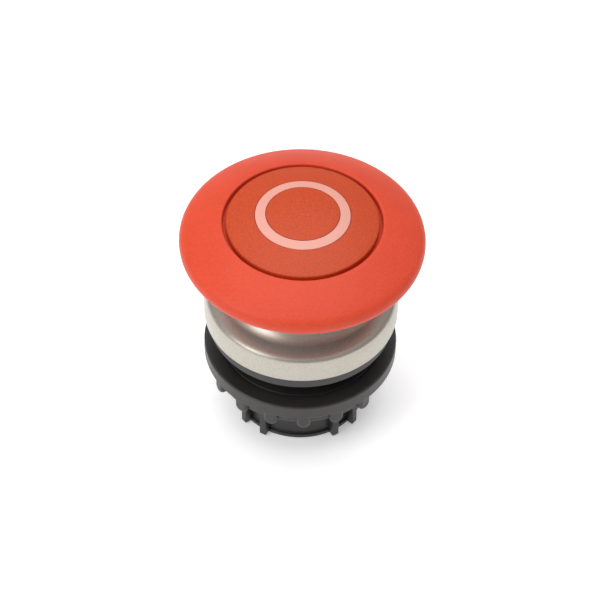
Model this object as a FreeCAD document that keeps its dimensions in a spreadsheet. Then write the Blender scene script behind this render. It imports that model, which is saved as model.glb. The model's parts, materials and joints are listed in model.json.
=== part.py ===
"""Panel-mount mushroom push-button operator for a 22.5 mm panel hole, in millimetres.

+Z is up, out of the panel. The origin is on the button's axis, on the plane where the
gasket meets the panel's front face.
"""
import FreeCAD, Part
import os
import math
import Sketcher

Vector = FreeCAD.Vector
ROUND_TRIP = 360

# Every alias is a cell of the sheet "Dims". A value is a number or a formula of other cells.
DIMENSIONS = [
    # mushroom cap
    ("cap_rim_r", 16.55), ("cap_rim_z", 17.65), ("cap_rim_round", 1.9),
    ("cap_low_z", "=cap_rim_z - cap_rim_round"),
    ("cap_crease_r", "=cap_rim_r + cap_rim_round * cos(45 deg)"),
    ("cap_crease_z", "=cap_rim_z + cap_rim_round * sin(45 deg)"),
    ("cap_dome_round", 30), ("recess_r", 11.95), ("recess_top_z", 21.6), ("recess_floor_z", 20.4),
    ("cap_hole_r", 5.3), ("cap_floor_z", 18.8), ("cap_snap_in_r", 11.75), ("cap_snap_out_r", 12.7),
    ("cap_snap_z", 17.4), ("cap_ceiling_z", 17.9), ("cap_wall_r", 15.7),
    ("cap_rib_count", 12), ("cap_rib_half", 0.4), ("cap_rib_low_z", 17.4), ("cap_rib_high_z", 18.4),
    ("cap_rib_in_r", 12.5), ("cap_rib_length", 3.4),
    ("plate_ring_groove_in_r", 8.05), ("plate_ring_groove_out_r", 8.95),
    ("plate_ring_groove_z", 19.6),
    # button plate, the O-ring under it and its ring mark
    ("plate_r", 11.45), ("plate_low_z", 20.45), ("plate_apex_z", 23.5), ("plate_dome_round", 34),
    ("plate_edge_z", "=plate_apex_z - plate_dome_round + sqrt(plate_dome_round ^ 2 - plate_r ^ 2)"),
    ("spigot_r", 5.25), ("spigot_low_z", 18.9),
    ("plate_ring_mid_r", 8.5), ("plate_ring_wire_r", 0.38), ("plate_ring_z", 20.03),
    ("mark_in_r", 5.56), ("mark_out_r", 7.09), ("mark_low_z", 22.3), ("mark_gap", 0.08),
    ("groove_in_r", "=mark_in_r - mark_gap"), ("groove_out_r", "=mark_out_r + mark_gap"),
    ("mark_in_z", "=plate_apex_z - plate_dome_round + sqrt(plate_dome_round ^ 2 - mark_in_r ^ 2)"),
    ("mark_out_z", "=plate_apex_z - plate_dome_round + sqrt(plate_dome_round ^ 2 - mark_out_r ^ 2)"),
    # cap carrier
    ("carrier_flange_r", 11.65), ("carrier_flange_low_z", 17.5), ("carrier_top_z", 18.75),
    ("carrier_sleeve_r", 8.0), ("carrier_low_z", 13.2), ("carrier_bore_r", 5.65),
    ("carrier_disc_r", 15.55), ("carrier_disc_in_r", 11.2),
    ("carrier_disc_low_z", 16.4), ("carrier_disc_top_z", 17.3),
    # snap ring between carrier and stem
    ("snap_mid_r", 5.65), ("snap_wire_r", 0.4), ("snap_z", 16.0),
    ("snap_groove_low_z", 15.55), ("snap_groove_high_z", 16.45),
    ("snap_groove_in_r", 5.2), ("snap_groove_out_r", 6.1),
    # stem
    ("shaft_r", 5.6), ("shaft_top_z", 18.4), ("shaft_core_r", 3.2), ("shaft_core_z", 6.0),
    ("piston_r", 7.5), ("piston_top_z", 4.2), ("piston_low_z", -2.4),
    ("pocket_r", 6.4), ("pocket_z", 1.5), ("rod_r", 3.2), ("rod_step_z", -11.2),
    ("rod_tip_r", 2.4), ("rod_tip_z", -13.3),
    ("stem_ring_mid_r", 7.1), ("stem_ring_wire_r", 0.45), ("stem_ring_z", 2.9),
    ("stem_ring_low_z", 2.4), ("stem_ring_high_z", 3.4), ("stem_ring_groove_r", 6.64),
    # retaining clip on the rod
    ("clip_top_z", -10.35), ("clip_low_z", -10.95), ("clip_groove_r", 2.6),
    ("clip_in_r", 2.63), ("clip_out_r", 4.8), ("clip_mouth_half", 1.5),
    ("clip_reach", 6.0),
    # actuator foot
    ("foot_hub_r", 4.6), ("foot_hub_top_z", -11.25), ("foot_bore_r", 2.42), ("foot_bore_z", -13.35),
    ("foot_arm_top_z", -13.4), ("foot_low_z", -15.5), ("foot_arm_half", 2.0), ("foot_arm_r", 7.4),
    ("foot_arm_height", "=foot_arm_top_z - foot_low_z"), ("foot_arm_count", 4),
    # guide bush, lip seal and bezel O-ring
    ("bush_top_z", 7.9), ("bush_low_z", 6.25), ("bush_out_r", 7.97), ("bush_in_r", 5.68),
    ("seal_top_z", 6.2), ("seal_low_z", 4.65), ("seal_lip_r", 5.67), ("seal_root_r", 6.6),
    ("seal_lip_z", 5.4),
    ("bezel_ring_mid_r", 9.3), ("bezel_ring_wire_r", 0.37), ("bezel_ring_z", 7.35),
    ("bezel_ring_low_z", 6.95), ("bezel_ring_high_z", 7.75), ("bezel_ring_groove_r", 8.9),
    # return spring, its seat and the stop washer
    ("spring_mid_r", 5.3), ("spring_wire_r", 0.35), ("spring_turns", 5.5),
    ("spring_low_z", "=seat_top_z + spring_wire_r"),
    ("spring_height", "=pocket_z - spring_wire_r - spring_low_z"),
    ("spring_pitch", "=spring_height / spring_turns"),
    ("seat_top_z", -7.5), ("seat_in_r", 3.5), ("seat_out_r", 6.9),
    ("stop_low_z", -10.3), ("stop_in_r", 3.5), ("stop_out_r", 6.5),
    # body housing
    ("boss_r", 9.6), ("boss_top_z", 8.0), ("counterbore_r", 8.0), ("counterbore_z", 4.6),
    ("flange_r", 13.9), ("flange_top_z", 4.2), ("flange_low_z", 1.95),
    ("neck_r", 11.15), ("neck_low_z", -1.0), ("bore_r", 7.6),
    ("web_top_z", -8.0), ("web_low_z", -9.6), ("web_hole_r", 3.28),
    ("cavity_r", 8.3), ("barrel_r", 9.75), ("barrel_top_z", -10.4), ("body_low_z", -16.8),
    ("barrel_foot_r", 10.1), ("barrel_foot_top_z", -15.95), ("barrel_chamfer", 0.2),
    ("barrel_end_r", "=barrel_foot_r - barrel_chamfer"),
    ("barrel_end_z", "=body_low_z + barrel_chamfer"),
    ("key_half", 1.45), ("key_out_r", 12.7), ("key_in_r", 10.9),
    ("key_height", "=flange_low_z - neck_low_z"),
    ("rib_in_r", 9.5), ("rib_out_r", 11.1), ("rib_half", 0.55), ("rib_low_z", -16.6),
    ("rib_height", "=barrel_top_z - rib_low_z"), ("rib_near_turn", 59), ("rib_far_turn", 38.5),
    ("rib_near_mirror_turn", "=180 - rib_near_turn"), ("rib_far_mirror_turn", "=180 - rib_far_turn"),
    ("rib_side_count", 2),
    # thread: the male grooves in the body, and the wider female grooves in the nut
    ("thread_pitch", 1.5), ("thread_crest_r", 11.05), ("thread_root_r", 10.35),
    ("body_groove_z", -2.0), ("body_mouth_half", 0.55), ("body_root_half", 0.18),
    ("body_mouth_low_z", "=body_groove_z - body_mouth_half"),
    ("body_mouth_high_z", "=body_groove_z + body_mouth_half"),
    ("body_root_low_z", "=body_groove_z - body_root_half"),
    ("body_root_high_z", "=body_groove_z + body_root_half"), ("body_groove_count", 6),
    ("nut_crest_r", 10.5), ("nut_mouth_r", 10.4), ("nut_root_r", 11.2), ("nut_groove_count", 4),
    ("nut_groove_z", "=body_groove_z - 1.5 * thread_pitch"),
    ("nut_mouth_half", 0.625), ("nut_root_half", 0.26),
    ("nut_mouth_low_z", "=nut_groove_z - nut_mouth_half"),
    ("nut_mouth_high_z", "=nut_groove_z + nut_mouth_half"),
    ("nut_root_low_z", "=nut_groove_z - nut_root_half"),
    ("nut_root_high_z", "=nut_groove_z + nut_root_half"),
    # ring nut
    ("nut_top_z", -3.95), ("nut_flange_r", 14.9), ("nut_flange_low_z", -6.3),
    ("nut_skirt_r", 13.6), ("nut_low_z", -8.7), ("nut_turn", 29.4),
    ("nut_line_in_r", 12.2), ("nut_line_out_r", 12.55), ("nut_line_z", -4.15),
    ("nut_relief_in_r", 11.7), ("nut_relief_out_r", 12.7), ("nut_relief_z", -7.0),
    ("lobe_in_x", 13.3), ("lobe_length", 1.15), ("lobe_half", 1.08),
    ("lobe_top_z", -6.2), ("lobe_round_z", -8.2), ("lobe_low_z", "=lobe_round_z - lobe_half"),
    ("lobe_group", 6), ("lobe_spacing", 21), ("lobe_group_span", "=lobe_spacing * (lobe_group - 1)"),
    ("lobe_group_count", 2),
    # bezel
    ("bezel_low_z", 2.05), ("bezel_foot_r", 14.5), ("bezel_foot_round", 0.6),
    ("bezel_r", 14.85), ("bezel_edge_z", "=bezel_low_z + bezel_foot_round"),
    ("bezel_wall_z", 5.2), ("bezel_shoulder_round", 1.8),
    ("bezel_waist_r", 13.36), ("bezel_waist_z", 6.97), ("bezel_sweep_round", 4.07),
    ("collar_r", 10.0), ("collar_low_z", 10.97), ("collar_top_z", 12.2), ("collar_in_r", 8.6),
    ("collar_ledge_z", 8.3), ("bezel_bore_r", 9.7), ("bezel_bore_z", 6.0),
    ("bezel_inside_r", 12.4), ("bezel_inside_z", 5.6), ("bezel_stop_z", 4.25), ("bezel_skirt_r", 13.95),
    # gasket
    ("gasket_r", 14.2), ("gasket_in_r", 11.2), ("gasket_top_z", 1.9),
    ("notch_half", 1.6), ("notch_out_r", 12.85),
]

doc = FreeCAD.newDocument("mushroom_button")


def build_sheet():
    """Write every dimension to the sheet, with its alias beside it."""
    sheet = doc.addObject("Spreadsheet::Sheet", "Dims")
    for row, (alias, value) in enumerate(DIMENSIONS, start=1):
        sheet.set("A%d" % row, alias)
        sheet.set("B%d" % row, str(value))
        sheet.setAlias("B%d" % row, alias)
    doc.recompute()
    return sheet


dims = build_sheet()


def size(alias):
    """A cell's value; "" stands for zero and a leading minus sign changes the sign."""
    if alias == "":
        return 0.0
    if alias.startswith("-"):
        return -float(dims.get(alias[1:]))
    return float(dims.get(alias))


def formula(alias):
    """The expression that binds a property to a cell."""
    if alias.startswith("-"):
        return "-Dims." + alias[1:]
    return "Dims." + alias


def new_body(name):
    """An empty PartDesign body whose Label is the sub-part's name."""
    body = doc.addObject("PartDesign::Body", name)
    body.Label = name
    return body


def new_sketch(body, name, role):
    """An empty sketch on one of the body's own origin planes."""
    sketch = body.newObject("Sketcher::SketchObject", name)
    plane = [feature for feature in body.Origin.OriginFeatures if feature.Role == role][0]
    sketch.AttachmentSupport = [(plane, "")]
    sketch.MapMode = "FlatFace"
    return sketch


def arc_between(start, end, radius, side):
    """The short arc from start to end whose centre lies on the left or the right of that way."""
    chord = end - start
    middle = (start + end) * 0.5
    across = Vector(-chord.y, chord.x, 0).normalize()
    reach = math.sqrt(radius ** 2 - (chord.Length / 2) ** 2)
    centre = middle + across * (reach if side == "left" else -reach)
    circle = Part.Circle(centre, Vector(0, 0, 1), radius)
    first, last = (start, end) if side == "left" else (end, start)
    return Part.ArcOfCircle(circle, circle.parameter(first), circle.parameter(last))


def draw_outline(sketch, outline):
    """Draw a closed outline and bind every corner to its cells.

    A corner is (x alias, y alias), or (x alias, y alias, radius alias, side) where the edge
    that leaves it is an arc whose centre lies on that side.
    """
    points = [Vector(size(corner[0]), size(corner[1]), 0) for corner in outline]
    starts = []
    ends = []
    for index, corner in enumerate(outline):
        start = points[index]
        end = points[(index + 1) % len(points)]
        if len(corner) == 2:
            edge = sketch.addGeometry(Part.LineSegment(start, end), False)
            turned = False
        else:
            arc = arc_between(start, end, size(corner[2]), corner[3])
            edge = sketch.addGeometry(arc, False)
            turned = corner[3] == "right"
        starts.append((edge, 2 if turned else 1))
        ends.append((edge, 1 if turned else 2))
    for index, corner in enumerate(outline):
        sketch.addConstraint(Sketcher.Constraint("Coincident", *ends[index - 1], *starts[index]))
        pin_coordinate(sketch, starts[index], "DistanceX", corner[0], -2)
        pin_coordinate(sketch, starts[index], "DistanceY", corner[1], -1)
        if len(corner) == 4:
            radius = sketch.addConstraint(
                Sketcher.Constraint("Radius", starts[index][0], size(corner[2])))
            sketch.setExpression("Constraints[%d]" % radius, formula(corner[2]))


def pin_coordinate(sketch, point, kind, alias, axis):
    """Tie one coordinate of a sketch point to its cell, or put the point on the axis."""
    if alias == "":
        sketch.addConstraint(Sketcher.Constraint("PointOnObject", *point, axis))
        return
    index = sketch.addConstraint(Sketcher.Constraint(kind, -1, 1, *point, size(alias)))
    sketch.setExpression("Constraints[%d]" % index, formula(alias))


def turned_feature(body, kind, name, outline):
    """A Revolution or Groove of an (r, z) outline about the Z axis."""
    sketch = new_sketch(body, name + "_outline", "XZ_Plane")
    draw_outline(sketch, outline)
    feature = body.newObject("PartDesign::" + kind, name)
    feature.Profile = sketch
    feature.ReferenceAxis = (sketch, ["V_Axis"])
    feature.Angle = ROUND_TRIP
    doc.recompute()
    return feature


def groove(body, name, in_r, out_r, low_z, high_z):
    """A square-cornered ring cut out of a turned body, compared by volume."""
    before = body.Tip.Shape.Volume
    outline = [(in_r, low_z), (out_r, low_z), (out_r, high_z), (in_r, high_z)]
    feature = turned_feature(body, "Groove", name, outline)
    check_less(feature, before)
    return feature


def check_less(feature, before):
    """Stop if a cutting feature took nothing away."""
    if feature.Shape.Volume > before - 1e-6:
        raise RuntimeError("nothing was cut by " + feature.Name)


def pad(body, name, role, outline, offset, length, turn=""):
    """A pad of an outline that starts at an offset along its plane's normal."""
    sketch = new_sketch(body, name + "_outline", role)
    draw_outline(sketch, outline)
    rotation = FreeCAD.Rotation(Vector(0, 0, 1), size(turn))
    sketch.AttachmentOffset = FreeCAD.Placement(Vector(0, 0, size(offset)), rotation)
    sketch.setExpression("AttachmentOffset.Base.z", formula(offset))
    if turn:
        sketch.setExpression("AttachmentOffset.Rotation.Angle", formula(turn))
    feature = body.newObject("PartDesign::Pad", name)
    feature.Profile = sketch
    feature.setExpression("Length", formula(length))
    doc.recompute()
    return feature


def ring_pattern(body, name, features, count):
    """Copies of features spread evenly about the Z axis."""
    pattern = body.newObject("PartDesign::PolarPattern", name)
    axis = [feature for feature in body.Origin.OriginFeatures if feature.Role == "Z_Axis"][0]
    pattern.Originals = features
    pattern.Axis = (axis, [""])
    pattern.Angle = ROUND_TRIP
    pattern.setExpression("Occurrences", formula(count))
    body.Tip = pattern
    doc.recompute()
    return pattern


def grouped_pattern(body, name, feature, count, span, groups):
    """Copies of a feature along part of a turn, and that group repeated about the Z axis."""
    axis = [item for item in body.Origin.OriginFeatures if item.Role == "Z_Axis"][0]
    steps = []
    for suffix in ("_in_a_group", "_groups"):
        step = body.newObject("PartDesign::PolarPattern", name + suffix)
        step.Axis = (axis, [""])
        steps.append(step)
    steps[0].setExpression("Angle", formula(span))
    steps[0].setExpression("Occurrences", formula(count))
    steps[1].Angle = ROUND_TRIP
    steps[1].setExpression("Occurrences", formula(groups))
    pattern = body.newObject("PartDesign::MultiTransform", name)
    pattern.Originals = [feature]
    pattern.Transformations = steps
    body.Tip = pattern
    doc.recompute()
    return pattern


def stack_pattern(body, name, features, count):
    """Copies of features one thread pitch apart, downwards."""
    before = body.Tip.Shape.Volume
    pattern = body.newObject("PartDesign::LinearPattern", name)
    axis = [feature for feature in body.Origin.OriginFeatures if feature.Role == "Z_Axis"][0]
    pattern.Originals = features
    pattern.Direction = (axis, [""])
    pattern.Reversed = True
    pattern.Length = size("thread_pitch") * (size(count) - 1)
    pattern.setExpression("Length", "Dims.thread_pitch * (%s - 1)" % formula(count))
    pattern.setExpression("Occurrences", formula(count))
    body.Tip = pattern
    doc.recompute()
    check_less(pattern, before)
    return pattern


def washer(name, in_r, out_r, low_z, high_z):
    """A flat ring of rectangular section."""
    body = new_body(name)
    turned_feature(body, "Revolution", "ring",
                   [(in_r, low_z), (out_r, low_z), (out_r, high_z), (in_r, high_z)])
    return body


def wire_ring(name, middle_r, wire_r, centre_z):
    """A closed ring of round section."""
    ring = doc.addObject("Part::Torus", name)
    ring.Label = name
    ring.setExpression("Radius1", formula(middle_r))
    ring.setExpression("Radius2", formula(wire_r))
    ring.setExpression("Placement.Base.z", formula(centre_z))
    doc.recompute()
    return ring


def build_mushroom_cap():
    """Domed cap with a rounded rim, a recess for the plate and stiffening ribs below."""
    body = new_body("mushroom_cap")
    turned_feature(body, "Revolution", "shell", [
        ("cap_rim_r", "cap_low_z", "cap_rim_round", "left"),
        ("cap_crease_r", "cap_crease_z", "cap_dome_round", "left"),
        ("recess_r", "recess_top_z"), ("recess_r", "recess_floor_z"),
        ("cap_hole_r", "recess_floor_z"), ("cap_hole_r", "cap_floor_z"),
        ("cap_snap_in_r", "cap_floor_z"), ("cap_snap_in_r", "cap_snap_z"),
        ("cap_snap_out_r", "cap_snap_z"), ("cap_snap_out_r", "cap_floor_z"),
        ("cap_wall_r", "cap_ceiling_z"), ("cap_wall_r", "cap_low_z")])
    groove(body, "o_ring_seat", "plate_ring_groove_in_r", "plate_ring_groove_out_r",
           "plate_ring_groove_z", "recess_floor_z")
    rib = pad(body, "rib", "YZ_Plane", [
        ("-cap_rib_half", "cap_rib_low_z"), ("cap_rib_half", "cap_rib_low_z"),
        ("cap_rib_half", "cap_rib_high_z"), ("-cap_rib_half", "cap_rib_high_z")],
        "cap_rib_in_r", "cap_rib_length")
    ring_pattern(body, "ribs", [rib], "cap_rib_count")
    return body


def build_button_plate():
    """Domed plate with a spigot below and a ring groove for the mark."""
    body = new_body("button_plate")
    turned_feature(body, "Revolution", "plate", [
        ("", "spigot_low_z"), ("spigot_r", "spigot_low_z"), ("spigot_r", "plate_low_z"),
        ("plate_r", "plate_low_z"), ("plate_r", "plate_edge_z", "plate_dome_round", "left"),
        ("", "plate_apex_z")])
    groove(body, "mark_groove", "groove_in_r", "groove_out_r", "mark_low_z", "plate_apex_z")
    return body


def build_o_mark():
    """Inlaid ring whose top follows the plate's dome."""
    body = new_body("o_mark")
    turned_feature(body, "Revolution", "ring", [
        ("mark_in_r", "mark_low_z"), ("mark_out_r", "mark_low_z"),
        ("mark_out_r", "mark_out_z", "plate_dome_round", "left"), ("mark_in_r", "mark_in_z")])
    return body


def build_cap_carrier():
    """Sleeve on the stem, with a flange in the cap and a disc that closes the cap's underside."""
    body = new_body("cap_carrier")
    turned_feature(body, "Revolution", "sleeve", [
        ("carrier_bore_r", "carrier_low_z"), ("carrier_sleeve_r", "carrier_low_z"),
        ("carrier_sleeve_r", "carrier_flange_low_z"), ("carrier_disc_in_r", "carrier_flange_low_z"),
        ("carrier_disc_in_r", "carrier_disc_low_z"), ("carrier_disc_r", "carrier_disc_low_z"),
        ("carrier_disc_r", "carrier_disc_top_z"), ("carrier_flange_r", "carrier_disc_top_z"),
        ("carrier_flange_r", "carrier_top_z"), ("carrier_bore_r", "carrier_top_z")])
    groove(body, "ring_seat", "shaft_r", "snap_groove_out_r",
           "snap_groove_low_z", "snap_groove_high_z")
    return body


def build_stem():
    """Shaft, piston with a spring pocket below, and rod with a stepped tip."""
    body = new_body("stem")
    turned_feature(body, "Revolution", "turning", [
        ("", "rod_tip_z"), ("rod_tip_r", "rod_tip_z"), ("rod_tip_r", "rod_step_z"),
        ("rod_r", "rod_step_z"), ("rod_r", "pocket_z"), ("pocket_r", "pocket_z"),
        ("pocket_r", "piston_low_z"), ("piston_r", "piston_low_z"), ("piston_r", "piston_top_z"),
        ("shaft_r", "piston_top_z"), ("shaft_r", "shaft_top_z"), ("shaft_core_r", "shaft_top_z"),
        ("shaft_core_r", "shaft_core_z"), ("", "shaft_core_z")])
    groove(body, "snap_seat", "snap_groove_in_r", "carrier_bore_r",
           "snap_groove_low_z", "snap_groove_high_z")
    groove(body, "o_ring_seat", "stem_ring_groove_r", "bore_r", "stem_ring_low_z", "stem_ring_high_z")
    groove(body, "clip_seat", "clip_groove_r", "web_hole_r", "clip_low_z", "clip_top_z")
    return body


def build_retaining_clip():
    """C-shaped clip, open towards +X, that sits in the rod's groove."""
    body = washer("retaining_clip", "clip_in_r", "clip_out_r", "clip_low_z", "clip_top_z")
    sketch = new_sketch(body, "mouth_outline", "XY_Plane")
    draw_outline(sketch, [("", "-clip_mouth_half"), ("clip_reach", "-clip_mouth_half"),
                          ("clip_reach", "clip_mouth_half"), ("", "clip_mouth_half")])
    before = body.Tip.Shape.Volume
    mouth = body.newObject("PartDesign::Pocket", "mouth")
    mouth.Profile = sketch
    mouth.Type = "ThroughAll"
    mouth.Midplane = True
    doc.recompute()
    check_less(mouth, before)
    return body


def build_actuator_foot():
    """Hub with four arms in a cross, whose undersides press the contact blocks."""
    body = new_body("actuator_foot")
    turned_feature(body, "Revolution", "hub", [
        ("", "foot_bore_z"), ("foot_bore_r", "foot_bore_z"), ("foot_bore_r", "foot_hub_top_z"),
        ("foot_hub_r", "foot_hub_top_z"), ("foot_hub_r", "foot_low_z"), ("", "foot_low_z")])
    arm = pad(body, "arm", "XY_Plane", [
        ("", "-foot_arm_half"), ("foot_arm_r", "-foot_arm_half"),
        ("foot_arm_r", "foot_arm_half"), ("", "foot_arm_half")],
        "foot_low_z", "foot_arm_height")
    ring_pattern(body, "arms", [arm], "foot_arm_count")
    return body


def build_lip_seal():
    """Rubber wiper, thickest at its root, with one narrow lip round the shaft."""
    body = new_body("lip_seal")
    turned_feature(body, "Revolution", "ring", [
        ("seal_root_r", "seal_low_z"), ("bush_out_r", "seal_low_z"), ("bush_out_r", "seal_top_z"),
        ("seal_root_r", "seal_top_z"), ("seal_lip_r", "seal_lip_z")])
    return body


def build_return_spring():
    """Round wire wound on a helix between its seat and the pocket's roof."""
    helix = doc.addObject("Part::Helix", "spring_path")
    helix.setExpression("Pitch", "Dims.spring_pitch")
    helix.setExpression("Height", "Dims.spring_height")
    helix.setExpression("Radius", "Dims.spring_mid_r")
    helix.setExpression("Placement.Base.z", "Dims.spring_low_z")
    section = doc.addObject("Part::Circle", "spring_section")
    section.setExpression("Radius", "Dims.spring_wire_r")
    section.Placement.Rotation = FreeCAD.Rotation(Vector(1, 0, 0), 90)
    section.setExpression("Placement.Base.x", "Dims.spring_mid_r")
    section.setExpression("Placement.Base.z", "Dims.spring_low_z")
    doc.recompute()
    spring = doc.addObject("Part::Sweep", "return_spring")
    spring.Label = "return_spring"
    spring.Sections = [section]
    spring.Spine = (helix, ["Edge%d" % (i + 1) for i in range(len(helix.Shape.Edges))])
    spring.Solid = True
    spring.Frenet = True
    doc.recompute()
    return spring


def add_rib(body, name, turn):
    """One upright rib on the lower barrel, at an angle about the axis."""
    return pad(body, name, "XY_Plane", [
        ("rib_in_r", "-rib_half"), ("rib_out_r", "-rib_half"),
        ("rib_out_r", "rib_half"), ("rib_in_r", "rib_half")],
        "rib_low_z", "rib_height", turn)


def build_body_housing():
    """Moulded body: boss, flange, keyed neck, thread, and barrel with paired ribs."""
    body = new_body("body_housing")
    turned_feature(body, "Revolution", "turning", [
        ("web_hole_r", "web_low_z"), ("cavity_r", "web_low_z"), ("cavity_r", "body_low_z"),
        ("barrel_end_r", "body_low_z"), ("barrel_foot_r", "barrel_end_z"),
        ("barrel_foot_r", "barrel_foot_top_z"), ("barrel_r", "barrel_foot_top_z"),
        ("barrel_r", "barrel_top_z"),
        ("thread_crest_r", "barrel_top_z"), ("thread_crest_r", "neck_low_z"),
        ("neck_r", "neck_low_z"), ("neck_r", "flange_low_z"), ("flange_r", "flange_low_z"),
        ("flange_r", "flange_top_z"), ("boss_r", "flange_top_z"), ("boss_r", "boss_top_z"),
        ("counterbore_r", "boss_top_z"), ("counterbore_r", "counterbore_z"),
        ("bore_r", "counterbore_z"), ("bore_r", "web_top_z"), ("web_hole_r", "web_top_z")])
    groove(body, "o_ring_seat", "bezel_ring_groove_r", "bezel_bore_r",
           "bezel_ring_low_z", "bezel_ring_high_z")
    cut = turned_feature(body, "Groove", "thread_groove", [
        ("thread_root_r", "body_root_low_z"), ("neck_r", "body_mouth_low_z"),
        ("neck_r", "body_mouth_high_z"), ("thread_root_r", "body_root_high_z")])
    stack_pattern(body, "thread", [cut], "body_groove_count")
    turns = ["rib_near_turn", "rib_far_turn", "rib_near_mirror_turn", "rib_far_mirror_turn"]
    ribs = [add_rib(body, turn.replace("_turn", ""), turn) for turn in turns]
    ring_pattern(body, "rib_pairs", ribs, "rib_side_count")
    pad(body, "key", "XY_Plane", [
        ("-key_half", "key_in_r"), ("key_half", "key_in_r"),
        ("key_half", "key_out_r"), ("-key_half", "key_out_r")],
        "neck_low_z", "key_height")
    return body


def build_ring_nut():
    """Fixing ring: threaded bore, thick flange and a skirt with two groups of rounded lobes."""
    body = new_body("ring_nut")
    turned_feature(body, "Revolution", "turning", [
        ("nut_crest_r", "nut_low_z"), ("nut_skirt_r", "nut_low_z"),
        ("nut_skirt_r", "nut_flange_low_z"), ("nut_flange_r", "nut_flange_low_z"),
        ("nut_flange_r", "nut_top_z"), ("nut_crest_r", "nut_top_z")])
    cut = turned_feature(body, "Groove", "thread_groove", [
        ("nut_mouth_r", "nut_mouth_low_z"), ("nut_root_r", "nut_root_low_z"),
        ("nut_root_r", "nut_root_high_z"), ("nut_mouth_r", "nut_mouth_high_z")])
    stack_pattern(body, "thread", [cut], "nut_groove_count")
    groove(body, "face_line", "nut_line_in_r", "nut_line_out_r", "nut_line_z", "nut_top_z")
    groove(body, "relief", "nut_relief_in_r", "nut_relief_out_r", "nut_low_z", "nut_relief_z")
    lobe = pad(body, "lobe", "YZ_Plane", [
        ("-lobe_half", "lobe_round_z", "lobe_half", "left"),
        ("", "lobe_low_z", "lobe_half", "left"), ("lobe_half", "lobe_round_z"),
        ("lobe_half", "lobe_top_z"), ("-lobe_half", "lobe_top_z")],
        "lobe_in_x", "lobe_length")
    grouped_pattern(body, "lobes", lobe, "lobe_group", "lobe_group_span", "lobe_group_count")
    body.setExpression("Placement.Rotation.Angle", "Dims.nut_turn")
    return body


def build_bezel():
    """Front ring that sweeps up from a rounded shoulder to a collar round the sleeve."""
    body = new_body("bezel")
    turned_feature(body, "Revolution", "shell", [
        ("bezel_skirt_r", "bezel_low_z"),
        ("bezel_foot_r", "bezel_low_z", "bezel_foot_round", "left"),
        ("bezel_r", "bezel_edge_z"),
        ("bezel_r", "bezel_wall_z", "bezel_shoulder_round", "left"),
        ("bezel_waist_r", "bezel_waist_z", "bezel_sweep_round", "right"),
        ("collar_r", "collar_low_z"), ("collar_r", "collar_top_z"),
        ("collar_in_r", "collar_top_z"), ("collar_in_r", "collar_ledge_z"),
        ("bezel_bore_r", "collar_ledge_z"), ("bezel_bore_r", "bezel_bore_z"),
        ("bezel_inside_r", "bezel_inside_z"), ("bezel_inside_r", "bezel_stop_z"),
        ("bezel_skirt_r", "bezel_stop_z")])
    return body


def build_gasket():
    """Flat rubber ring whose inner edge has a notch for the housing's key."""
    body = washer("panel_gasket", "gasket_in_r", "gasket_r", "", "gasket_top_z")
    sketch = new_sketch(body, "notch_outline", "XY_Plane")
    draw_outline(sketch, [("-notch_half", ""), ("notch_half", ""),
                          ("notch_half", "notch_out_r"), ("-notch_half", "notch_out_r")])
    before = body.Tip.Shape.Volume
    notch = body.newObject("PartDesign::Pocket", "notch")
    notch.Profile = sketch
    notch.Type = "ThroughAll"
    notch.Midplane = True
    doc.recompute()
    check_less(notch, before)
    return body


def build_all():
    """Every sub-part, from the cap down."""
    return [
        build_mushroom_cap(),
        build_button_plate(),
        build_o_mark(),
        wire_ring("plate_o_ring", "plate_ring_mid_r", "plate_ring_wire_r", "plate_ring_z"),
        build_cap_carrier(),
        wire_ring("snap_ring", "snap_mid_r", "snap_wire_r", "snap_z"),
        build_stem(),
        wire_ring("stem_o_ring", "stem_ring_mid_r", "stem_ring_wire_r", "stem_ring_z"),
        build_retaining_clip(),
        build_actuator_foot(),
        washer("guide_bush", "bush_in_r", "bush_out_r", "bush_low_z", "bush_top_z"),
        build_lip_seal(),
        build_return_spring(),
        washer("spring_seat", "seat_in_r", "seat_out_r", "web_top_z", "seat_top_z"),
        washer("stop_washer", "stop_in_r", "stop_out_r", "stop_low_z", "web_low_z"),
        build_body_housing(),
        wire_ring("bezel_o_ring", "bezel_ring_mid_r", "bezel_ring_wire_r", "bezel_ring_z"),
        build_bezel(),
        build_gasket(),
        build_ring_nut(),
    ]


def check_all(subparts):
    """Stop if any object failed to compute or any sub-part is not a sound solid."""
    doc.recompute()
    for item in doc.Objects:
        if "Invalid" in item.State or "Error" in item.State:
            raise RuntimeError("%s did not compute: %s" % (item.Label, item.State))
    for item in subparts:
        shape = item.Shape
        if shape.isNull() or not shape.isValid() or len(shape.Solids) != 1:
            raise RuntimeError("%s is not one valid solid" % item.Label)
        print("%-16s %9.2f mm3" % (item.Label, shape.Volume))


def export_all(subparts):
    """Write each sub-part to its own STEP file."""
    os.makedirs("parts", exist_ok=True)
    for item in subparts:
        item.Shape.exportStep("parts/%s.step" % item.Label)


parts = build_all()
check_all(parts)
export_all(parts)
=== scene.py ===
import json
import math

import bmesh
import bpy
from mathutils import Matrix, Vector


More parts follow.
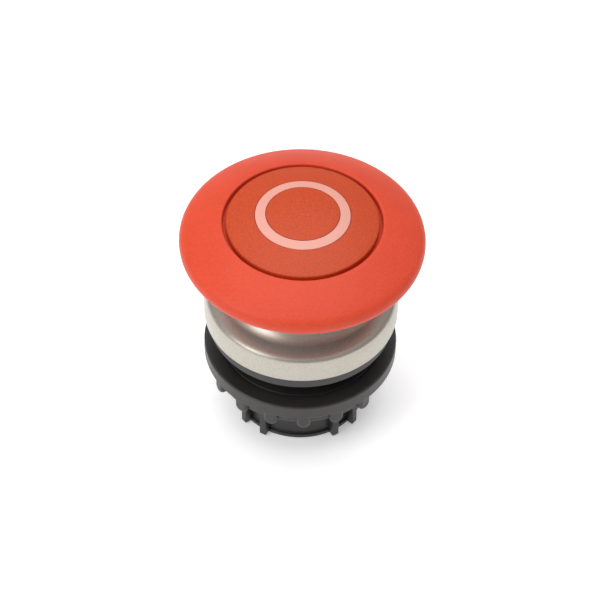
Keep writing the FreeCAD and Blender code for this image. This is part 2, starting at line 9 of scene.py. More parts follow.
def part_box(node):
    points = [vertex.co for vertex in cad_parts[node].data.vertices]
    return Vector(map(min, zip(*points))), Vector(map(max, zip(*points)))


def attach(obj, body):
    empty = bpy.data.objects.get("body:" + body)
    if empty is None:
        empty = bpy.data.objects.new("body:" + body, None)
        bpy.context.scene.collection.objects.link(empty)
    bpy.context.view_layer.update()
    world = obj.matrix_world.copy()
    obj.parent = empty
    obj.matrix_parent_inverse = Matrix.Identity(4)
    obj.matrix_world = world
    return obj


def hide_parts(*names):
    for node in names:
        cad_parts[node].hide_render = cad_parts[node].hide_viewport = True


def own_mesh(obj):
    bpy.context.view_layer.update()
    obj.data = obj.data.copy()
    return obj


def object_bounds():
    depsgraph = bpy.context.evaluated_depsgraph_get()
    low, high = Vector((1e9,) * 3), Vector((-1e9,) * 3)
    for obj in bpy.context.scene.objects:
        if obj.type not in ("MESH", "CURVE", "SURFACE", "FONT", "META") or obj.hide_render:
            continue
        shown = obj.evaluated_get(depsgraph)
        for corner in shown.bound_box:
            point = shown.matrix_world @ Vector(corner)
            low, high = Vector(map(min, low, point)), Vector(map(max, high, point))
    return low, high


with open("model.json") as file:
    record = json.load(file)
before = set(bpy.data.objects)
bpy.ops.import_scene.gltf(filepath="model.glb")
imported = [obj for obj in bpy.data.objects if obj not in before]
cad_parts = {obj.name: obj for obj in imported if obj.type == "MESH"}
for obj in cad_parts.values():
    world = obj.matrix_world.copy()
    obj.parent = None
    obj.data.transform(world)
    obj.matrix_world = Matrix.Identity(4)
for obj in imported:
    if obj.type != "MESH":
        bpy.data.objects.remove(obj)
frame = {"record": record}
cad_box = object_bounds()
slots = {entry["node"]: entry["material_slot"] for entry in frame["record"]["subparts"]}

# All lengths below are in millimetres in the CAD frame, and become metres when a mesh is made.
MM = 0.001
SMOOTH_TURN = 224      # steps round the axis on the pieces that the outside shows
PLAIN_TURN = 96        # steps round the axis on the pieces inside
HOLD = 0.03            # a loop this far from each rounded corner keeps the flats flat
ARC_STEP = 4           # degrees between two points of an outline's arc, roughly
FEWEST_STEPS = 6       # no arc of an outline has fewer steps
SAME_POINT = 1e-4      # outline points nearer to each other than this are one point
ON_AXIS = 1e-5         # an outline point nearer to the axis than this is on it
SHARP = 60             # edges that turn by more degrees than this are shaded sharp
PLAIN_SHARP = 35       # the same on the plainest pieces inside


# ---------------------------------------------------------------- sizes from the frame
def radius(node):
    """Largest radius of a round CAD node, in millimetres."""
    low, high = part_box(node)
    return (high.x - low.x) / 2 / MM


def bottom(node):
    """Lowest height of a CAD node, in millimetres."""
    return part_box(node)[0].z / MM


def top(node):
    """Highest height of a CAD node, in millimetres."""
    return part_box(node)[1].z / MM


# ---------------------------------------------------------------- outlines
def corner(r, z, soft=0.0):
    """A corner of an outline, softened by a curve that starts this far from it."""
    return {"at": Vector((r, z)), "soft": soft, "bow": None}


def bowed(r, z, reach, side, soft=0.0):
    """A corner whose leaving edge is an arc of a radius, centred on the left or the right."""
    return {"at": Vector((r, z)), "soft": soft, "bow": (reach, side)}


def groove(wall, floor, first, last):
    """Corners of a square groove in an upright wall, from its first edge to its last."""
    return [corner(wall, first), corner(floor, first), corner(floor, last), corner(wall, last)]


def edge_points(start, end, bow):
    """Points along an edge, two for a straight one."""
    if bow is None:
        return [start.copy(), end.copy()]
    reach, side = bow
    chord = end - start
    across = Vector((-chord.y, chord.x)).normalized()
    if side == "right":
        across = -across
    centre = (start + end) / 2 + across * math.sqrt(reach ** 2 - (chord.length / 2) ** 2)
    first = math.atan2(start.y - centre.y, start.x - centre.x)
    last = math.atan2(end.y - centre.y, end.x - centre.x)
    opening = (last - first + math.pi) % (2 * math.pi) - math.pi
    steps = max(FEWEST_STEPS, int(abs(opening) / math.radians(ARC_STEP)))
    return [centre + reach * Vector((math.cos(first + opening * i / steps),
                                     math.sin(first + opening * i / steps)))
            for i in range(steps + 1)]


def trim(points, length):
    """Cut a length off the start of a run of points."""
    points = [p.copy() for p in points]
    while length > 0 and len(points) > 1:
        step = (points[1] - points[0]).length
        if step > length:
            points[0] = points[0].lerp(points[1], length / step)
            return points
        length -= step
        points.pop(0)
    return points


def soften(before, middle, after, steps=5):
    """Points of the curve that rounds a corner, without its two ends."""
    curve = []
    for i in range(1, steps):
        t = i / steps
        curve.append(before * (1 - t) ** 2 + middle * 2 * t * (1 - t) + after * t ** 2)
    return curve


def outline(corners):
    """Dense closed outline of (r, z) points, with rounded corners and holding points."""
    count = len(corners)
    runs = []
    for i, c in enumerate(corners):
        following = corners[(i + 1) % count]
        run = edge_points(c["at"], following["at"], c["bow"])
        run = trim(run, c["soft"])
        run = trim(run[::-1], following["soft"])[::-1]
        if c["bow"] is None and (run[-1] - run[0]).length > 4 * HOLD:
            way = (run[-1] - run[0]).normalized() * HOLD
            run = [run[0], run[0] + way, run[-1] - way, run[-1]]
        runs.append(run)
    points = []
    for i, c in enumerate(corners):
        if c["soft"] > 0:
            points += soften(runs[i - 1][-1], c["at"], runs[i][0])
        points += runs[i]
    kept = []
    for p in points:
        if not kept or (p - kept[-1]).length > SAME_POINT:
            kept.append(p)
    if (kept[0] - kept[-1]).length < SAME_POINT:
        kept.pop()
    return kept


# ---------------------------------------------------------------- meshes
def lathe(bm, corners, turn=SMOOTH_TURN):
    """Add the closed solid that an outline sweeps round the Z axis."""
    points = outline(corners)
    rings = []
    for p in points:
        if abs(p.x) < ON_AXIS:
            rings.append([bm.verts.new((0, 0, p.y * MM))])
            continue
        rings.append([bm.verts.new((p.x * MM * math.cos(2 * math.pi * k / turn),
                                    p.x * MM * math.sin(2 * math.pi * k / turn),
                                    p.y * MM)) for k in range(turn)])
    for i, ring in enumerate(rings):
        other = rings[(i + 1) % len(rings)]
        for k in range(turn):
            n = (k + 1) % turn
            if len(ring) == 1 and len(other) == 1:
                break
            if len(ring) == 1:
                bm.faces.new((ring[0], other[n], other[k]))
            elif len(other) == 1:
                bm.faces.new((ring[k], ring[n], other[0]))
            else:
                bm.faces.new((ring[k], ring[n], other[n], other[k]))


def join(bm, first, second):
    """Add the faces between two loops of the same number of points."""
    for j in range(len(first)):
        n = (j + 1) % len(first)
        bm.faces.new((first[j], second[j], second[n], first[n]))


def sweep(bm, rows):
    """Add the closed solid that joins a run of loops."""
    for first, second in zip(rows, rows[1:]):
        join(bm, first, second)
    bm.faces.new(rows[0])
    bm.faces.new(rows[-1][::-1])


def soft_block(bm, low, high, soft, angle=0.0):
    """Add a block with rounded edges, turned by an angle in degrees about the Z axis."""
    verts = bmesh.ops.create_cube(bm, size=1.0)["verts"]
    for v in verts:
        v.co = Vector([(low[i] + (v.co[i] + 0.5) * (high[i] - low[i])) * MM for i in range(3)])
    edges = list({e for v in verts for e in v.link_edges})
    rounded = bmesh.ops.bevel(bm, geom=edges, offset=soft * MM, segments=3, profile=0.5,
                              affect="EDGES")
    moved = set(rounded["verts"]) | {v for v in verts if v.is_valid}
    bmesh.ops.rotate(bm, verts=list(moved), cent=(0, 0, 0),
                     matrix=Matrix.Rotation(math.radians(angle), 3, "Z"))


def grip_lobe(bm, inner, outer, half, roof, floor, soft, angle):
    """Add one U-shaped tab that stands out radially, with a rounded foot and a soft rim."""
    foot_steps, rim_steps = 14, 4
    centre = floor + half

    def row(x, inset):
        """The U at one distance from the axis, drawn in by an inset."""
        reach = half - inset
        points = [(x, reach, roof)]
        for i in range(foot_steps + 1):
            a = math.pi * i / foot_steps
            points.append((x, reach * math.cos(a), centre - reach * math.sin(a)))
        points.append((x, -reach, roof))
        return points

    rows = [row(inner, 0.0), row(outer - soft - HOLD, 0.0)]
    for i in range(rim_steps + 1):
        a = math.pi / 2 * i / rim_steps
        rows.append(row(outer - soft + soft * math.sin(a), soft * (1 - math.cos(a))))
    rows.append(row(outer, soft + HOLD))
    turn = Matrix.Rotation(math.radians(angle), 3, "Z")
    sweep(bm, [[bm.verts.new(turn @ (Vector(p) * MM)) for p in points] for points in rows])


# ---------------------------------------------------------------- materials
NOISE_LOW, NOISE_HIGH = 0.3, 0.7       # nearly all of a noise texture's values lie between these


def new_material(name, color, roughness, metallic=0.0, specular=0.5):
    """A Principled material with its plain values on the shader's own sockets."""
    material = bpy.data.materials.new(name)
    material.use_nodes = True
    shader = material.node_tree.nodes["Principled BSDF"]
    shader.inputs["Base Color"].default_value = (*color, 1.0)
    shader.inputs["Roughness"].default_value = roughness
    shader.inputs["Metallic"].default_value = metallic
    shader.inputs["Specular IOR Level"].default_value = specular
    return material, material.node_tree, shader


def noise(tree, scale, detail=3.0, stretch=(1, 1, 1)):
    """Noise in the CAD frame: scale is in features per millimetre."""
    place = tree.nodes.new("ShaderNodeTexCoord")
    mapping = tree.nodes.new("ShaderNodeMapping")
    mapping.inputs["Scale"].default_value = [s / MM for s in stretch]
    texture = tree.nodes.new("ShaderNodeTexNoise")
    texture.inputs["Scale"].default_value = scale
    texture.inputs["Detail"].default_value = detail
    tree.links.new(place.outputs["Object"], mapping.inputs["Vector"])
    tree.links.new(mapping.outputs["Vector"], texture.inputs["Vector"])
    return texture.outputs["Fac"]


def ramp(tree, source, dark, light):
    """Turn noise into a colour between two others."""
    node = tree.nodes.new("ShaderNodeValToRGB")
    node.color_ramp.elements[0].position = NOISE_LOW
    node.color_ramp.elements[1].position = NOISE_HIGH
    node.color_ramp.elements[0].color = (*dark, 1.0)
    node.color_ramp.elements[1].color = (*light, 1.0)
    tree.links.new(source, node.inputs["Fac"])
    return node.outputs["Color"]


def between(tree, source, low, high):
    """Stretch noise to a range of values."""
    node = tree.nodes.new("ShaderNodeMapRange")
    node.inputs["From Min"].default_value = NOISE_LOW
    node.inputs["From Max"].default_value = NOISE_HIGH
    node.inputs["To Min"].default_value = low
    node.inputs["To Max"].default_value = high
    tree.links.new(source, node.inputs["Value"])
    return node.outputs["Result"]


def multiplied(tree, first, second):
    """The product of two colours."""
    node = tree.nodes.new("ShaderNodeMix")
    node.data_type = "RGBA"
    node.blend_type = "MULTIPLY"
    node.inputs["Factor"].default_value = 1.0
    tree.links.new(first, node.inputs["A"])
    tree.links.new(second, node.inputs["B"])
    return node.outputs["Result"]


def bump(tree, shader, sources):
    """Chain height sources, each with its depth in millimetres, into the shader's normal."""
    previous = None
    for source, depth in sources:
        node = tree.nodes.new("ShaderNodeBump")
        node.inputs["Distance"].default_value = depth * MM
        node.inputs["Strength"].default_value = 1.0
        tree.links.new(source, node.inputs["Height"])
        if previous:
            tree.links.new(previous, node.inputs["Normal"])
        previous = node.outputs["Normal"]
    tree.links.new(previous, shader.inputs["Normal"])


def shade(factor, color):
    """A colour made darker or lighter."""
    return tuple(min(1.0, factor * c) for c in color)


def moulded(name, color, roughness, grain, depth, spread=0.12, specular=0.5, speckle=0.04):
    """Moulded plastic or rubber: broad colour drift, speckled grain and uneven gloss."""
    drift_scale, wave_scale, wave_depth, uneven = 0.18, 0.35, 1.5 * depth, 0.06
    material, tree, shader = new_material(name, color, roughness, specular=specular)
    drift = noise(tree, drift_scale, detail=4.0)
    tint = ramp(tree, drift, shade(1 - spread, color), shade(1 + spread, color))
    fine = noise(tree, grain, detail=2.0)
    grey = ramp(tree, fine, (1 - speckle,) * 3, (1.0,) * 3)
    gloss = between(tree, fine, roughness - uneven, roughness + uneven)
    tree.links.new(multiplied(tree, tint, grey), shader.inputs["Base Color"])
    tree.links.new(gloss, shader.inputs["Roughness"])
    bump(tree, shader, [(fine, depth), (noise(tree, wave_scale, detail=2.0), wave_depth)])
    return material


def grained(name, color, roughness, gloss, shades, scale, depth, wave_scale, wave_depth,
            metallic=0.0, specular=0.5, detail=2.0):
    """Fine grain that shows in colour, gloss and height, over slow waves in the surface."""
    material, tree, shader = new_material(name, color, roughness, metallic, specular)
    fine = noise(tree, scale, detail=detail)
    tint = ramp(tree, fine, shade(shades[0], color), shade(shades[1], color))
    tree.links.new(tint, shader.inputs["Base Color"])
    tree.links.new(between(tree, fine, *gloss), shader.inputs["Roughness"])
    bump(tree, shader, [(fine, depth), (noise(tree, wave_scale, detail=2.0), wave_depth)])
    return material


def drawn(name, color, roughness, gloss, scale, depth):
    """Drawn metal, with streaks that run level round the axis."""
    material, tree, shader = new_material(name, color, roughness, metallic=1.0)
    streaks = noise(tree, scale, stretch=(1, 1, 8))
    tree.links.new(between(tree, streaks, *gloss), shader.inputs["Roughness"])
    bump(tree, shader, [(streaks, depth)])
    return material


CAP_RED = (0.68, 0.068, 0.029)
PLATE_RED = (0.50, 0.054, 0.010)
MARK_PINK = (0.72, 0.325, 0.26)
SILVER = (0.47, 0.44, 0.385)
NUT_GREY = (0.027, 0.0245, 0.0235)
BODY_GREY = (0.022, 0.0213, 0.023)
GASKET_GREY = (0.030, 0.028, 0.028)
SEAL_BLACK = (0.012, 0.012, 0.012)
BUSH_CREAM = (0.55, 0.53, 0.48)
STEEL = (0.50, 0.50, 0.51)

FINISHES = {
    "cap_red": (moulded, dict(color=CAP_RED, roughness=0.44, grain=2.6, depth=0.014,
                              spread=0.03, specular=0.2, speckle=0.12)),
    "plate_red": (grained, dict(color=PLATE_RED, roughness=0.5, gloss=(0.42, 0.60),
                                shades=(0.80, 1.22), scale=4.5, depth=0.012, wave_scale=0.3,
                                wave_depth=0.006, specular=0.3, detail=3.0)),
    "mark_pink": (moulded, dict(color=MARK_PINK, roughness=0.45, grain=7.0, depth=0.004,
                                spread=0.03)),
    "silver_front": (grained, dict(color=SILVER, roughness=0.34, gloss=(0.31, 0.38),
                                   shades=(0.88, 1.12), scale=5.0, depth=0.003, wave_scale=0.4,
                                   wave_depth=0.004, metallic=0.6)),
    "gasket_rubber": (moulded, dict(color=GASKET_GREY, roughness=0.55, grain=6.0, depth=0.006,
                                    specular=0.55)),
    "seal_rubber": (moulded, dict(color=SEAL_BLACK, roughness=0.5, grain=6.0, depth=0.004)),
    "black_moulding": (moulded, dict(color=BODY_GREY, roughness=0.42, grain=5.0, depth=0.004)),
    "nut_plastic": (moulded, dict(color=NUT_GREY, roughness=0.42, grain=5.0, depth=0.006)),
    "bush_plastic": (moulded, dict(color=BUSH_CREAM, roughness=0.4, grain=5.0, depth=0.003)),
    "spring_steel": (drawn, dict(color=STEEL, roughness=0.3, gloss=(0.24, 0.40), scale=2.0,
                                 depth=0.002)),
}
MATERIALS = {name: make(name, **values) for name, (make, values) in FINISHES.items()}


# ---------------------------------------------------------------- pieces
def new_object(name, data):
    """A new object in the scene, for a mesh, a light or a camera."""
    obj = bpy.data.objects.new(name, data)
    bpy.context.scene.collection.objects.link(obj)
    return obj


def new_mesh(name, bm, material):
    """A mesh of one material, made from a bmesh that is used up."""
    mesh = bpy.data.meshes.new(name)
    bm.to_mesh(mesh)
    bm.free()
    mesh.materials.append(material)
    return mesh


def add_piece(name, node, body, build, sharp=SHARP):
    """Build a piece that rides on a body, stands for a CAD node and wears its finish."""
    bm = bmesh.new()
    build(bm)
    bmesh.ops.recalc_face_normals(bm, faces=bm.faces)
    mesh = new_mesh(name, bm, MATERIALS[slots[node]])
    mesh.shade_smooth()
    mesh.set_sharp_from_angle(angle=math.radians(sharp))
    obj = new_object(name, mesh)
    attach(obj, body)
    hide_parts(node)
    return obj


def round_ring(middle, wire, height):
    """A builder of a closed ring of round section."""
    around = 16

    def build(bm):
        rows = []
        for k in range(PLAIN_TURN):
            a = 2 * math.pi * k / PLAIN_TURN
            row = []
            for j in range(around):
                b = 2 * math.pi * j / around
                r = middle + wire * math.cos(b)
                row.append(bm.verts.new((r * math.cos(a) * MM, r * math.sin(a) * MM,
                                         (height + wire * math.sin(b)) * MM)))
            rows.append(row)
        for first, second in zip(rows, rows[1:] + rows[:1]):
            join(bm, first, second)
    return build


def flat_ring(inner, outer, low, high, soft):
    """A builder of a flat ring with softened edges."""
    def build(bm):
        lathe(bm, [corner(inner, low, soft), corner(outer, low, soft),
                   corner(outer, high, soft), corner(inner, high, soft)], PLAIN_TURN)
    return build


# ---------------------------------------------------------------- the moving head
def build_cap(bm):
    """Cap shell with a full rim, a softened crease, the plate's recess and ribs below."""
    rim, crown = 1.9, 30.0
    low = bottom("mushroom_cap")
    rim_r = radius("mushroom_cap") - rim
    rim_z = low + rim
    slant = rim * math.cos(math.radians(45))
    recess_r, recess_floor = 11.95, 20.4
    hole_r, floor = 5.3, 18.8
    snap_in, snap_out, snap_z = 11.75, 12.7, 17.4
    wall, ceiling = 15.7, 17.9
    groove_in, groove_out, groove_z = 8.05, 8.95, 19.6
    lathe(bm, [
        bowed(rim_r, low, rim, "left"),
        bowed(rim_r + slant, rim_z + slant, crown, "left", soft=0.55),
        corner(recess_r, top("mushroom_cap"), 0.5), corner(recess_r, recess_floor, 0.15),
        corner(groove_out, recess_floor, 0.08), corner(groove_out, groove_z, 0.08),
        corner(groove_in, groove_z, 0.08), corner(groove_in, recess_floor, 0.08),
        corner(hole_r, recess_floor, 0.1), corner(hole_r, floor, 0.1),
        corner(snap_in, floor, 0.1), corner(snap_in, snap_z, 0.15),
        corner(snap_out, snap_z, 0.15), corner(snap_out, floor, 0.3),
        corner(wall, ceiling, 0.5), corner(wall, low, 0.2)])
    ribs, rib_half, rib_low, rib_high, overlap = 12, 0.4, 17.4, 18.4, 0.2
    for k in range(ribs):
        soft_block(bm, (snap_out - overlap, -rib_half, rib_low),
                   (wall + overlap, rib_half, rib_high), 0.12, 90 + 360 * k / ribs)


PLATE_DOME = 34.0       # radius of the dome that plate and mark share


def dome_height(r):
    """Height of the plate's dome at a radius."""
    return top("button_plate") - PLATE_DOME + math.sqrt(PLATE_DOME ** 2 - r ** 2)


def build_plate(bm):
    """Domed plate with a soft edge, a groove for the mark and a spigot below."""
    edge, spigot, low = radius("button_plate"), 5.25, 20.45
    mark_in, mark_out, mark_low = 5.48, 7.17, 22.3
    lathe(bm, [
        corner(0, bottom("button_plate")), corner(spigot, bottom("button_plate"), 0.3),
        corner(spigot, low, 0.1), corner(edge, low, 0.15),
        bowed(edge, dome_height(edge), PLATE_DOME, "left", soft=0.22),
        corner(mark_out, dome_height(mark_out), 0.03), corner(mark_out, mark_low, 0.03),
        corner(mark_in, mark_low, 0.03),
        bowed(mark_in, dome_height(mark_in), PLATE_DOME, "left", soft=0.03),
        corner(0, dome_height(0))])


def build_mark(bm):
    """Inlaid ring with a softened top that follows the dome."""
    inner, outer, low = 5.56, radius("o_mark"), bottom("o_mark")
    lathe(bm, [corner(inner, low), corner(outer, low),
               bowed(outer, dome_height(outer), PLATE_DOME, "left", soft=0.05),
               corner(inner, dome_height(inner), 0.05)])


def build_carrier(bm):
    """Sleeve with a flange in the cap and a disc that closes the cap's underside."""
    bore, sleeve, flange, flange_low = 5.65, 8.0, 11.65, 17.5
    disc, disc_in, disc_low, disc_top = radius("cap_carrier"), 11.2, 16.4, 17.3
    groove_out, groove_low, groove_high = 6.1, 15.55, 16.45
    low, high = bottom("cap_carrier"), top("cap_carrier")
    lathe(bm, [
        corner(bore, low, 0.15), corner(sleeve, low, 0.35), corner(sleeve, flange_low, 0.4),
        corner(disc_in, flange_low, 0.2), corner(disc_in, disc_low, 0.3),
        corner(disc, disc_low, 0.3), corner(disc, disc_top, 0.1), corner(flange, disc_top, 0.05),
        corner(flange, high, 0.1), corner(bore, high, 0.1)]
        + groove(bore, groove_out, groove_high, groove_low))


def build_stem(bm):
    """Stem with its grooves, piston, pocket and stepped rod."""
    shaft, core, piston, pocket, rod, tip = 5.6, 3.2, radius("stem"), 6.4, 3.2, 2.4
    piston_top, piston_low, pocket_z, step, core_z = 4.2, -2.4, 1.5, -11.2, 6.0
    clip_groove = groove(rod, 2.6, -10.95, -10.35)
    seal_groove = groove(piston, 6.64, 2.4, 3.4)
    snap_groove = groove(shaft, 5.2, 15.55, 16.45)
    low, high = bottom("stem"), top("stem")
    lathe(bm, [
        corner(0, low), corner(tip, low, 0.3), corner(tip, step, 0.1), corner(rod, step, 0.15)]
        + clip_groove + [
        corner(rod, pocket_z, 0.2), corner(pocket, pocket_z, 0.2), corner(pocket, piston_low, 0.2),
        corner(piston, piston_low, 0.2)]
        + seal_groove + [
        corner(piston, piston_top, 0.2), corner(shaft, piston_top, 0.2)]
        + snap_groove + [
        corner(shaft, high, 0.3), corner(core, high, 0.2), corner(core, core_z, 0.2),
        corner(0, core_z)], PLAIN_TURN)


def build_foot(bm):
    """Hub and four rounded arms that work the contacts."""
    hub, bore, bore_z = 4.6, 2.42, -13.35
    low, high = bottom("actuator_foot"), top("actuator_foot")
    arms, arm_in, arm_out = 4, 3.2, radius("actuator_foot")
    arm_half, arm_top = 2.0, -13.4
    lathe(bm, [corner(0, low), corner(hub, low, 0.2), corner(hub, high, 0.25),
               corner(bore, high, 0.15), corner(bore, bore_z, 0.1), corner(0, bore_z)], PLAIN_TURN)
    for k in range(arms):
        soft_block(bm, (arm_in, -arm_half, low), (arm_out, arm_half, arm_top), 0.3, 360 * k / arms)


def build_clip(bm):
    """Flat C-shaped clip whose two ends face each other squarely across its mouth."""
    inner, outer, mouth_half, steps, pull = 2.63, 4.8, 1.5, 60, 6
    low, high = bottom("retaining_clip"), top("retaining_clip")
    inner_mouth = math.asin(mouth_half / inner)
    outer_mouth = math.asin(mouth_half / outer)
    rows = []
    for i in range(steps + 1):
        a = outer_mouth + 2 * (math.pi - outer_mouth) * i / steps
        side = 1 - 2 * i / steps
        b = a + math.copysign((inner_mouth - outer_mouth) * abs(side) ** pull, side)
        rows.append([bm.verts.new(Vector((r * math.cos(t), r * math.sin(t), z)) * MM)
                     for r, z, t in ((inner, low, b), (outer, low, a),
                                     (outer, high, a), (inner, high, b))])
    sweep(bm, rows)


HEAD = "plunger"
add_piece("cap_shell", "mushroom_cap", HEAD, build_cap)
add_piece("plate_lens", "button_plate", HEAD, build_plate)
add_piece("ring_inlay", "o_mark", HEAD, build_mark)
add_piece("plate_seal", "plate_o_ring", HEAD, round_ring(middle=8.5, wire=0.38, height=20.03))
add_piece("carrier_sleeve", "cap_carrier", HEAD, build_carrier)
add_piece("snap_wire", "snap_ring", HEAD, round_ring(middle=5.65, wire=0.4, height=16.0))
add_piece("stem_core", "stem", HEAD, build_stem, PLAIN_SHARP)
add_piece("stem_seal", "stem_o_ring", HEAD, round_ring(middle=7.1, wire=0.45, height=2.9))
add_piece("rod_clip", "retaining_clip", HEAD, build_clip, PLAIN_SHARP)
add_piece("contact_foot", "actuator_foot", HEAD, build_foot)


# ---------------------------------------------------------------- the fixed operator body
def build_bezel(bm):
    """Front ring: soft foot, near-upright wall, round shoulder, sweep and collar."""
    skirt, foot, edge, wall = 13.95, 14.5, 0.6, radius("bezel")
    low, high = bottom("bezel"), top("bezel")
    shoulder, sweep_in = 1.8, 4.07
    wall_z, waist_r, waist_z = 5.2, 13.36, 6.97
    collar, collar_in, collar_low = 10.0, 8.6, 10.97
    ledge, bore, bore_z, inside, inside_z, stop = 8.3, 9.7, 6.0, 12.4, 5.6, 4.25
    lathe(bm, [
        corner(skirt, low, 0.1), bowed(foot, low, edge, "left"), corner(wall, low + edge),
        bowed(wall, wall_z, shoulder, "left", soft=1.0),
        bowed(waist_r, waist_z, sweep_in, "right", soft=1.1),
        corner(collar, collar_low), corner(collar, high, 0.3), corner(collar_in, high, 0.3),
        corner(collar_in, ledge, 0.1), corner(bore, ledge, 0.1), corner(bore, bore_z, 0.1),
        corner(inside, inside_z, 0.2), corner(inside, stop, 0.1), corner(skirt, stop, 0.05)])


def build_gasket(bm):
    """Rubber ring with soft corners, whose inner edge is pushed out to a notch for the key."""
    inner, outer = 11.2, radius("panel_gasket")
    low, high = bottom("panel_gasket"), top("panel_gasket")
    notch_half, notch_out, easing = 1.6, 12.85, 0.12
    lathe(bm, [corner(inner, low, 0.15), corner(outer, low, 0.35),
               corner(outer, high, 0.25), corner(inner, high, 0.1)])
    for vert in bm.verts:
        x, y = vert.co.x / MM, vert.co.y / MM
        reach = math.hypot(x, y)
        if y > 0 and abs(x) < notch_half + easing and reach < notch_out:
            depth = min(1.0, (notch_half + easing - abs(x)) / easing)
            push = (notch_out - reach) * depth * max(0.0, 1 - (reach - inner) / (notch_out - inner))
            vert.co.x += x / reach * push * MM
            vert.co.y += y / reach * push * MM


def thread_corners(crest, root, mouth, foot, first, count, pitch):
    """Corners of a stack of thread grooves on an upright wall, from the lowest up."""
    corners = []
    for k in reversed(range(count)):
        z = first - pitch * k
        corners += [corner(crest, z - mouth, 0.06), corner(root, z - foot, 0.06),
                    corner(root, z + foot, 0.06), corner(crest, z + mouth, 0.06)]
    return corners


def build_housing(bm):
    """Boss, flange, keyed neck, thread and ribbed barrel in one moulding."""
    hole, cavity, bore, counterbore = 3.28, 8.3, 7.6, 8.0
    barrel, foot, crest, root, neck = 9.75, 10.1, 11.05, 10.35, 11.15
    flange, boss, chamfer = radius("body_housing"), 9.6, 0.2
    low, high = bottom("body_housing"), top("body_housing")
    web_low, web_top, barrel_top, foot_top, neck_low = -9.6, -8.0, -10.4, -15.95, -1.0
    flange_low, flange_top, ledge = 1.95, 4.2, 4.6
    seal_groove = groove(boss, 8.9, 6.95, 7.75)
    thread = thread_corners(crest, root, mouth=0.504, foot=0.18, first=-2.0, count=6, pitch=1.5)
    lathe(bm, [
        corner(hole, web_low, 0.1), corner(cavity, web_low, 0.3), corner(cavity, low, 0.2),
        corner(foot - chamfer, low, 0.08), corner(foot, low + chamfer, 0.08),
        corner(foot, foot_top, 0.12), corner(barrel, foot_top, 0.1),
        corner(barrel, barrel_top, 0.2), corner(crest, barrel_top, 0.2)]
        + thread + [
        corner(crest, neck_low), corner(neck, neck_low), corner(neck, flange_low, 0.1),
        corner(flange, flange_low, 0.15), corner(flange, flange_top, 0.15),
        corner(boss, flange_top, 0.15)]
        + seal_groove + [
        corner(boss, high, 0.08), corner(counterbore, high, 0.15),
        corner(counterbore, ledge, 0.1), corner(bore, ledge, 0.1),
        corner(bore, web_top, 0.2), corner(hole, web_top, 0.1)])
    rib_in, rib_out, rib_half, rib_low, rib_high = 9.5, 11.1, 0.55, -16.6, barrel_top + 0.1
    far, near = 38.5, 59               # degrees round from the X axis
    for side in (0, 180):
        for angle in (far, near, 180 - near, 180 - far):
            soft_block(bm, (rib_in, -rib_half, rib_low), (rib_out, rib_half, rib_high), 0.12,
                       angle + side)
    key_half, key_in, key_out, key_top = 1.45, 10.9, 12.7, flange_low + 0.05
    soft_block(bm, (-key_half, key_in, neck_low), (key_half, key_out, key_top), 0.15)


def build_bush(bm):
    """Plain guide bush with eased edges."""
    bore, outer, low, high = 5.68, 7.97, 6.25, 7.9
    lathe(bm, [corner(bore, low, 0.2), corner(outer, low, 0.1), corner(outer, high, 0.2),
               corner(bore, high, 0.25)], PLAIN_TURN)


def build_lip(bm):
    """Wiper with one narrow lip."""
    heel, outer, low, high = 6.6, 7.97, 4.65, 6.2
    lip, lip_z = 5.67, 5.4
    lathe(bm, [corner(heel, low, 0.1), corner(outer, low, 0.1), corner(outer, high, 0.1),
               corner(heel, high, 0.1), corner(lip, lip_z, 0.08)], PLAIN_TURN)


def build_spring(bm):
    """Coil spring whose end coils lie nearly flat on their seats."""
    middle, wire, low, high, turns = 5.3, 0.35, -7.5, 1.5, 7.5
    per_turn, around, coil_gap = 40, 12, 0.02
    steps = int(turns * per_turn)
    end_rise = 2 * wire + coil_gap
    span = high - low - 2 * wire
    rows = []
    for i in range(steps + 1):
        turn = i / per_turn
        if turn < 1:
            z = end_rise * turn ** 2
        elif turn > turns - 1:
            z = span - end_rise * (turns - turn) ** 2
        else:
            z = end_rise + (span - 2 * end_rise) * (turn - 1) / (turns - 2)
        a = 2 * math.pi * turn
        out = Vector((math.cos(a), math.sin(a), 0))
        centre = out * middle + Vector((0, 0, low + wire + z))
        row = []
        for j in range(around):
            b = 2 * math.pi * j / around
            lift = Vector((0, 0, wire * math.sin(b)))
            row.append(bm.verts.new((centre + out * wire * math.cos(b) + lift) * MM))
        rows.append(row)
    sweep(bm, rows)


FIXED = "operator_body"
add_piece("front_ring", "bezel", FIXED, build_bezel)
add_piece("panel_seal", "panel_gasket", FIXED, build_gasket)
add_piece("housing_moulding", "body_housing", FIXED, build_housing)
add_piece("front_ring_seal", "bezel_o_ring", FIXED, round_ring(middle=9.3, wire=0.37, height=7.35))
add_piece("shaft_bush", "guide_bush", FIXED, build_bush, PLAIN_SHARP)
add_piece("shaft_wiper", "lip_seal", FIXED, build_lip, PLAIN_SHARP)
add_piece("spring_washer", "spring_seat", FIXED,
          flat_ring(inner=3.5, outer=6.9, low=-8.0, high=-7.5, soft=0.08), PLAIN_SHARP)
add_piece("stroke_stop", "stop_washer", FIXED,
          flat_ring(inner=3.5, outer=6.5, low=-10.3, high=-9.6, soft=0.15), PLAIN_SHARP)
spring = add_piece("lift_spring", "return_spring", FIXED, build_spring)
# The spring is 9 mm long at rest and 4 mm with the button pressed, and stands on its lower end.
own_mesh(spring)


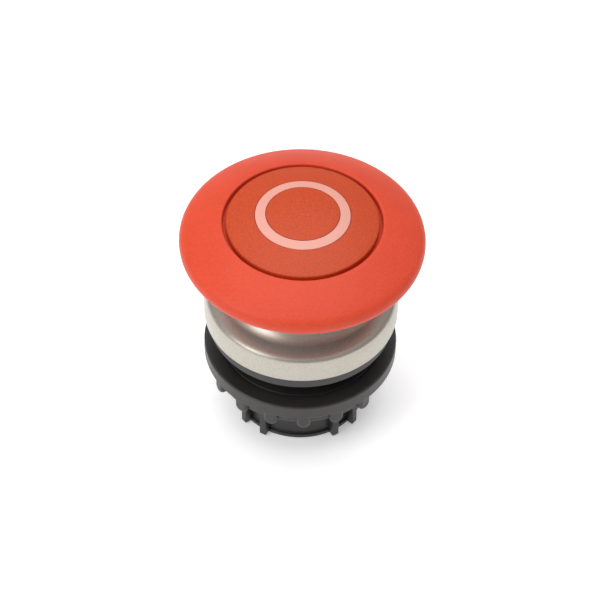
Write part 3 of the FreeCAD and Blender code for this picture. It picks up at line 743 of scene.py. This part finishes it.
# ---------------------------------------------------------------- the ring nut
def build_nut(bm):
    """Fixing ring: flange with a fine line on its face, threaded bore and grip lobes."""
    crest, root, face_bore, flange, skirt = 10.5, 11.2, 10.83, radius("ring_nut"), 13.6
    high, flange_low, low = top("ring_nut"), -6.3, -8.7
    line_in, line_out, line_z = 12.2, 12.55, high - 0.2
    relief_in, relief_out, relief_z = 11.7, 12.7, -7.0
    mouth, foot, first_groove, pitch, grooves = 0.58, 0.26, -4.25, 1.5, 4
    thread = []
    for k in range(grooves):
        z = first_groove - pitch * k
        if k > 0:
            thread += [corner(crest, z + mouth, 0.05)]
        thread += [corner(root, z + foot, 0.05)]
        if z - mouth > low:
            thread += [corner(root, z - foot, 0.05), corner(crest, z - mouth, 0.05)]
    lathe(bm, [
        corner(root, low, 0.05), corner(relief_in, low, 0.1), corner(relief_in, relief_z, 0.15),
        corner(relief_out, relief_z, 0.15), corner(relief_out, low, 0.1),
        corner(skirt, low, 0.25), corner(skirt, flange_low, 0.15),
        corner(flange, flange_low, 0.2), corner(flange, high, 0.3),
        corner(line_out, high, 0.06), corner(line_out, line_z, 0.05), corner(line_in, line_z, 0.05),
        corner(line_in, high, 0.06), corner(face_bore, high, 0.05)] + thread)
    lobe_in, lobe_out, lobe_half, lobe_top, lobe_low = 13.3, 14.45, 1.08, -6.2, bottom("ring_nut")
    lobes, first_lobe, spacing = 6, 29.4, 21
    for side in (0, 180):
        for k in range(lobes):
            grip_lobe(bm, lobe_in, lobe_out, lobe_half, lobe_top, lobe_low, 0.5,
                      first_lobe + side + spacing * k)


add_piece("fixing_nut", "ring_nut", "fixing_ring", build_nut)


# ---------------------------------------------------------------- stage, light and camera
def direction(azimuth, elevation):
    """The way out from the object at two angles in degrees: azimuth 0 is the front, -Y."""
    a, e = math.radians(azimuth), math.radians(elevation)
    return Vector((math.sin(a) * math.cos(e), -math.cos(a) * math.cos(e), math.sin(e)))


def build_floor():
    """A wide pale floor that the operator stands on."""
    half_width, pale, glow = 3.0, (0.95, 0.95, 0.95), 0.3
    material, _, shader = new_material("floor_white", pale, 0.9)
    shader.inputs["Emission Color"].default_value = (1.0, 1.0, 1.0, 1.0)
    shader.inputs["Emission Strength"].default_value = glow
    bm = bmesh.new()
    bmesh.ops.create_grid(bm, x_segments=8, y_segments=8, size=half_width)
    floor = new_object("floor", new_mesh("floor", bm, material))
    floor.location.z = cad_box[0][2]


def soft_light(name, azimuth, elevation, distance, width, power):
    """A square area light that looks at the object, with its distance and width in metres."""
    data = bpy.data.lights.new(name, "AREA")
    data.size = width
    data.energy = power
    light = new_object(name, data)
    way = direction(azimuth, elevation)
    light.location = way * distance
    light.rotation_euler = way.to_track_quat("Z", "Y").to_euler()


def build_surround():
    """A white surround whose strength rises from dim at the sides to bright overhead."""
    brightest = Vector((0.0, 0.25, 0.97)).normalized()
    glow_edge, glow_full = 0.5, 0.95       # cosines of the angle from the brightest direction
    dim, bright = 0.34, 0.9
    world = bpy.data.worlds.new("surround")
    bpy.context.scene.world = world
    world.use_nodes = True
    tree = world.node_tree
    background = tree.nodes["Background"]
    background.inputs["Color"].default_value = (1.0, 1.0, 1.0, 1.0)
    way = tree.nodes.new("ShaderNodeTexCoord")
    towards = tree.nodes.new("ShaderNodeVectorMath")
    towards.operation = "DOT_PRODUCT"
    towards.inputs[1].default_value = brightest
    tree.links.new(way.outputs["Generated"], towards.inputs[0])
    fade = tree.nodes.new("ShaderNodeMapRange")
    fade.interpolation_type = "SMOOTHSTEP"
    fade.inputs["From Min"].default_value = glow_edge
    fade.inputs["From Max"].default_value = glow_full
    fade.inputs["To Min"].default_value = dim
    fade.inputs["To Max"].default_value = bright
    tree.links.new(towards.outputs["Value"], fade.inputs["Value"])
    tree.links.new(fade.outputs["Result"], background.inputs["Strength"])


def build_camera():
    """A long lens that looks down at the button from the front."""
    roll, distance, target = 1.2, 407.9, Vector((-0.16, 0.0, 4.13))
    back = direction(azimuth=-0.8, elevation=47.47)
    data = bpy.data.cameras.new("camera")
    data.sensor_width = 36.0
    data.lens = 159.96
    camera = new_object("camera", data)
    camera.location = (target + back * distance) * MM
    upright = back.to_track_quat("Z", "Y")
    tilt = Matrix.Rotation(math.radians(roll), 3, "Z").to_quaternion()
    camera.rotation_mode = "QUATERNION"
    camera.rotation_quaternion = upright @ tilt
    bpy.context.scene.camera = camera


build_floor()
build_surround()
soft_light("key", azimuth=-57, elevation=38, distance=0.9, width=0.45, power=3.0)
soft_light("top", azimuth=180, elevation=82, distance=0.9, width=0.9, power=5.0)
bpy.context.scene.view_settings.view_transform = "Standard"
build_camera()
